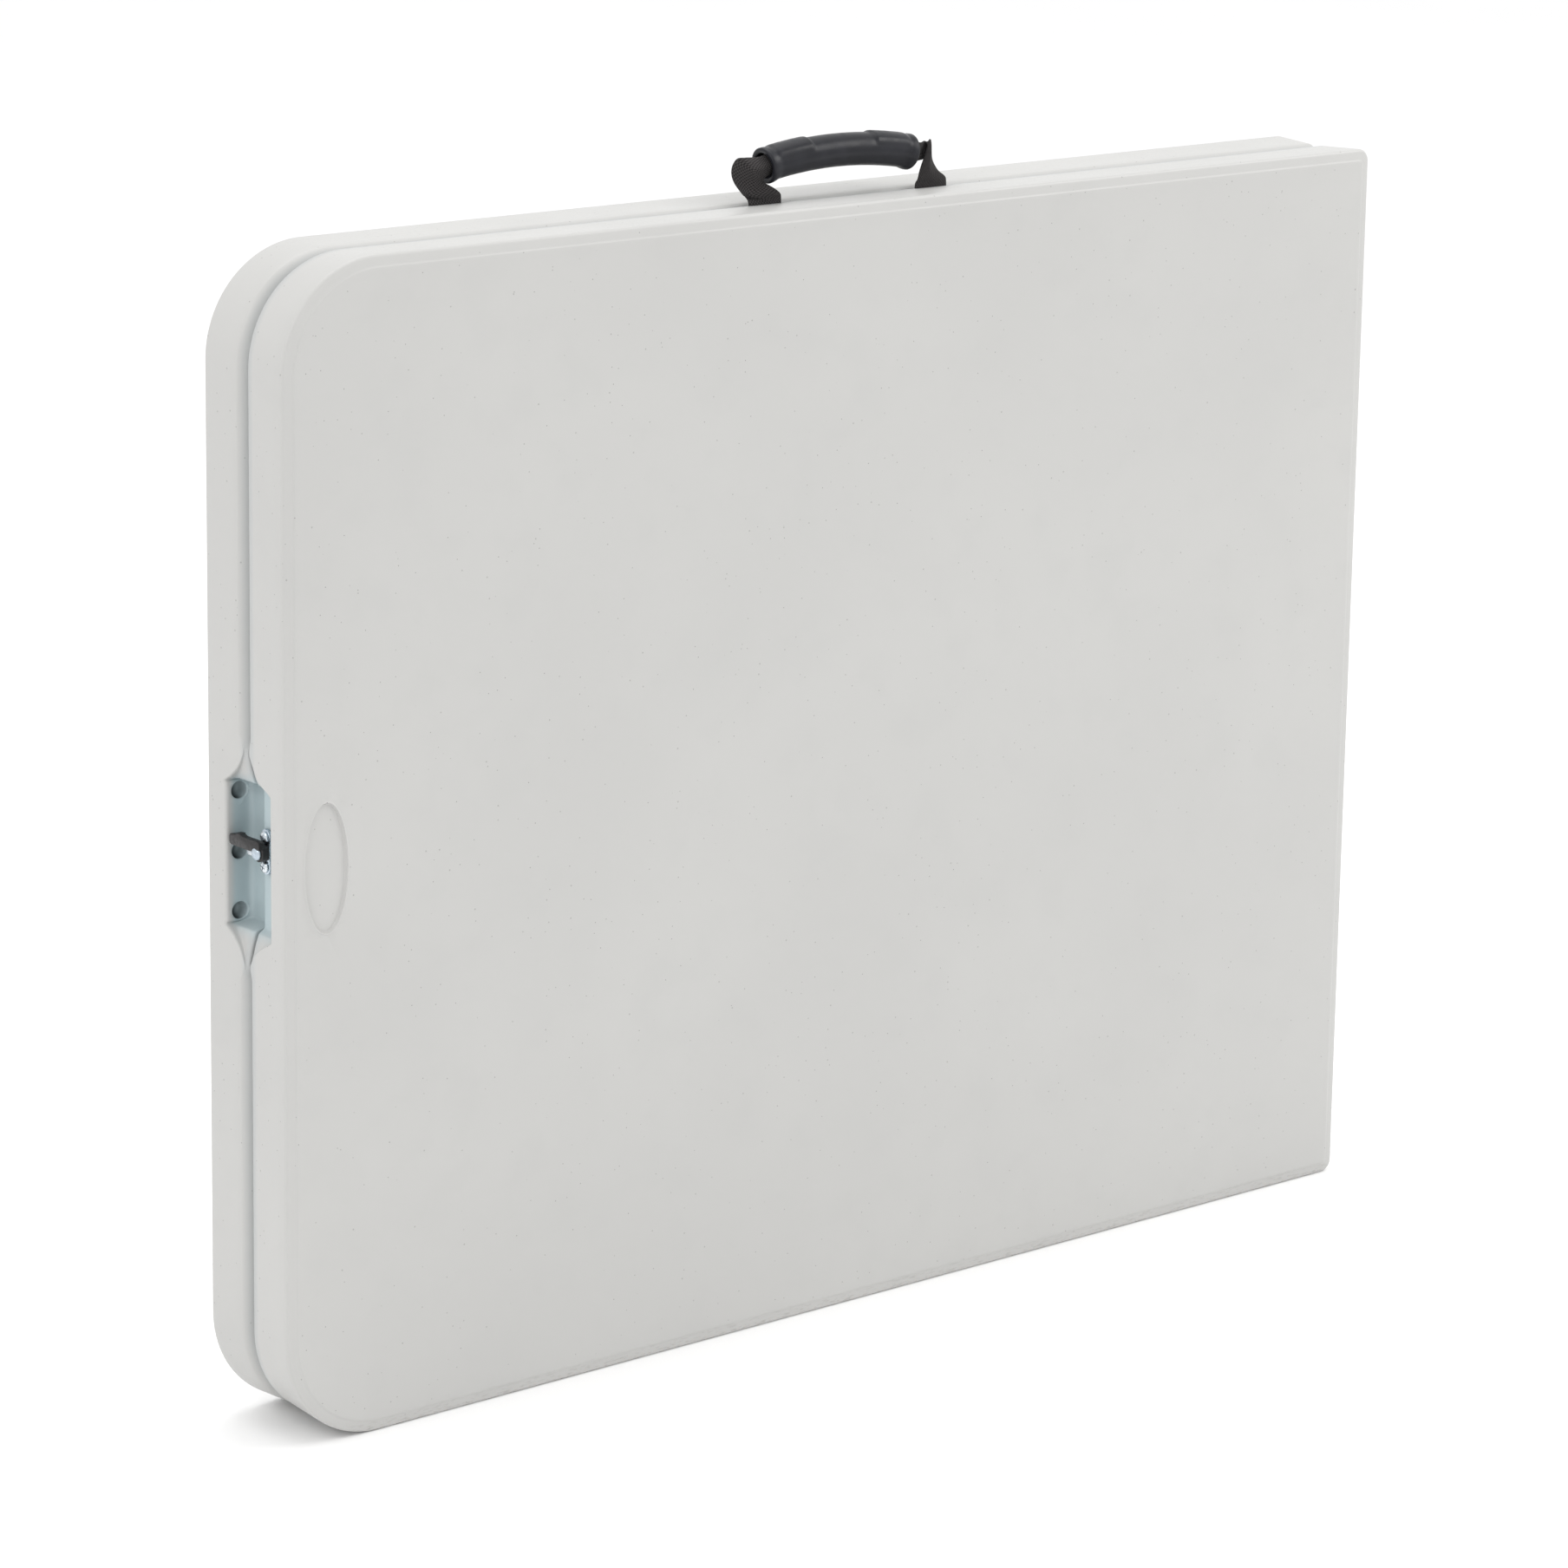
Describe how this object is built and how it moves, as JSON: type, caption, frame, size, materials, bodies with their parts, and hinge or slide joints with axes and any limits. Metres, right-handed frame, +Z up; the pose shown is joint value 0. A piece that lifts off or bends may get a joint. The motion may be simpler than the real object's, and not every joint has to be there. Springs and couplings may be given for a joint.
{
  "type": "folding table",
  "caption": "Fold-in-half utility table with a blow-moulded top, folding legs, a latch and a webbing carrying handle, folded shut on its long edge.",
  "frame": {"origin": "on the floor, under the middle of the folded table, in the plane where its two halves meet", "axes": "+Z up, across the tabletop's width while it is folded; +X from the latch end to the fold; +Y from the front half to the rear half"},
  "size_m": [0.9212, 0.087, 0.7885],
  "materials": {
    "resin": "blow-moulded polyethylene, light grey with a fine dark fleck, satin",
    "powder_coat": "grey powder coat on steel tube, satin",
    "zinc": "bright zinc plate",
    "latch_plastic": "black moulded nylon",
    "grip": "black moulded grip, satin",
    "webbing": "woven nylon webbing",
    "foot_cap": "dark moulded cap"
  },
  "bodies": {
    "rear_half": {"rear_top": "resin", "rear_upper_rail": "powder_coat", "rear_upper_hinge_leaf": "zinc", "rear_upper_pivot_plate": "zinc", "rear_lower_rail": "powder_coat", "rear_lower_hinge_leaf": "zinc", "rear_lower_pivot_plate": "zinc", "rear_brace_panel_lug": "zinc", "rear_brace_panel_pin": "zinc", "upper_hinge_pin": "zinc", "lower_hinge_pin": "zinc", "latch_keeper_pin": "zinc", "left_strap_anchor": "webbing", "right_strap_anchor": "webbing"},
    "front_half": {"front_top": "resin", "front_upper_rail": "powder_coat", "front_upper_hinge_leaf": "zinc", "front_upper_pivot_plate": "zinc", "front_lower_rail": "powder_coat", "front_lower_hinge_leaf": "zinc", "front_lower_pivot_plate": "zinc", "front_brace_panel_lug": "zinc", "front_brace_panel_pin": "zinc", "latch_bracket": "zinc", "latch_rivet": "zinc", "latch_lower_screw": "zinc", "latch_upper_screw": "zinc"},
    "rear_legs": {"rear_leg_axle": "powder_coat", "rear_leg_crossbar": "powder_coat", "rear_upper_leg_tube": "powder_coat", "rear_lower_leg_tube": "powder_coat", "rear_brace_leg_lug": "powder_coat", "rear_brace_leg_pin": "zinc"},
    "rear_short_brace": {"rear_brace_short_link": "zinc"},
    "rear_long_brace": {"rear_brace_long_link": "zinc"},
    "rear_upper_foot": {"rear_upper_leg_extension": "powder_coat", "rear_upper_foot_cap": "foot_cap"},
    "rear_lower_foot": {"rear_lower_leg_extension": "powder_coat", "rear_lower_foot_cap": "foot_cap"},
    "front_legs": {"front_leg_axle": "powder_coat", "front_leg_crossbar": "powder_coat", "front_upper_leg_tube": "powder_coat", "front_lower_leg_tube": "powder_coat", "front_brace_leg_lug": "powder_coat", "front_brace_leg_pin": "zinc"},
    "front_short_brace": {"front_brace_short_link": "zinc"},
    "front_long_brace": {"front_brace_long_link": "zinc"},
    "front_upper_foot": {"front_upper_leg_extension": "powder_coat", "front_upper_foot_cap": "foot_cap"},
    "front_lower_foot": {"front_lower_leg_extension": "powder_coat", "front_lower_foot_cap": "foot_cap"},
    "latch": {"latch_lever": "latch_plastic"},
    "handle": {"handle_grip": "grip", "handle_band": "webbing", "handle_left_leg": "webbing", "handle_right_leg": "webbing"}
  },
  "joints": [
    {"name": "table_fold", "type": "hinge", "parent": "rear_half", "child": "front_half", "pos_m": [0.45458, 0, 0.37465], "axis": [0, 0, 1], "range_deg": [0, 180]},
    {"name": "rear_leg_fold", "type": "hinge", "parent": "rear_half", "child": "rear_legs", "pos_m": [-0.36542, 0.0157, 0.37465], "axis": [0, 0, -1], "range_deg": [0, 90]},
    {"name": "rear_short_brace_fold", "type": "hinge", "parent": "rear_half", "child": "rear_short_brace", "pos_m": [-0.13542, 0.0157, 0.41965], "axis": [0, 0, 1], "range_deg": [0, 54.96]},
    {"name": "rear_long_brace_fold", "type": "hinge", "parent": "rear_legs", "child": "rear_long_brace", "pos_m": [-0.03742, 0.0157, 0.41615], "axis": [0, 0, -1], "range_deg": [0, 35.04]},
    {"name": "rear_upper_foot_slide", "type": "slide", "parent": "rear_legs", "child": "rear_upper_foot", "axis": [1, 0, 0], "range_m": [0, 0.1]},
    {"name": "rear_lower_foot_slide", "type": "slide", "parent": "rear_legs", "child": "rear_lower_foot", "axis": [1, 0, 0], "range_m": [0, 0.1]},
    {"name": "front_leg_fold", "type": "hinge", "parent": "front_half", "child": "front_legs", "pos_m": [-0.36542, -0.0157, 0.37465], "axis": [0, 0, 1], "range_deg": [0, 90]},
    {"name": "front_short_brace_fold", "type": "hinge", "parent": "front_half", "child": "front_short_brace", "pos_m": [-0.13542, -0.0157, 0.32965], "axis": [0, 0, -1], "range_deg": [0, 54.96]},
    {"name": "front_long_brace_fold", "type": "hinge", "parent": "front_legs", "child": "front_long_brace", "pos_m": [-0.03742, -0.0157, 0.33315], "axis": [0, 0, 1], "range_deg": [0, 35.04]},
    {"name": "front_upper_foot_slide", "type": "slide", "parent": "front_legs", "child": "front_upper_foot", "axis": [1, 0, 0], "range_m": [0, 0.1]},
    {"name": "front_lower_foot_slide", "type": "slide", "parent": "front_legs", "child": "front_lower_foot", "axis": [1, 0, 0], "range_m": [0, 0.1]},
    {"name": "latch_turn", "type": "hinge", "parent": "front_half", "child": "latch", "pos_m": [-0.45458, -0.008, 0.3795], "axis": [1, 0, 0], "range_deg": [0, 50]},
    {"name": "handle_swing", "type": "hinge", "parent": "rear_half", "child": "handle", "pos_m": [0.003, 0, 0.7493], "axis": [1, 0, 0], "range_deg": [-50, 50]}
  ],
  "couplings": [
    {"joint": "rear_leg_fold", "follows": "table_fold", "ratio": 0.5},
    {"joint": "rear_short_brace_fold", "follows": "table_fold", "ratio": 0.30533},
    {"joint": "rear_long_brace_fold", "follows": "table_fold", "ratio": 0.19467},
    {"joint": "front_leg_fold", "follows": "table_fold", "ratio": 0.5},
    {"joint": "front_short_brace_fold", "follows": "table_fold", "ratio": 0.30533},
    {"joint": "front_long_brace_fold", "follows": "table_fold", "ratio": 0.19467}
  ]
}
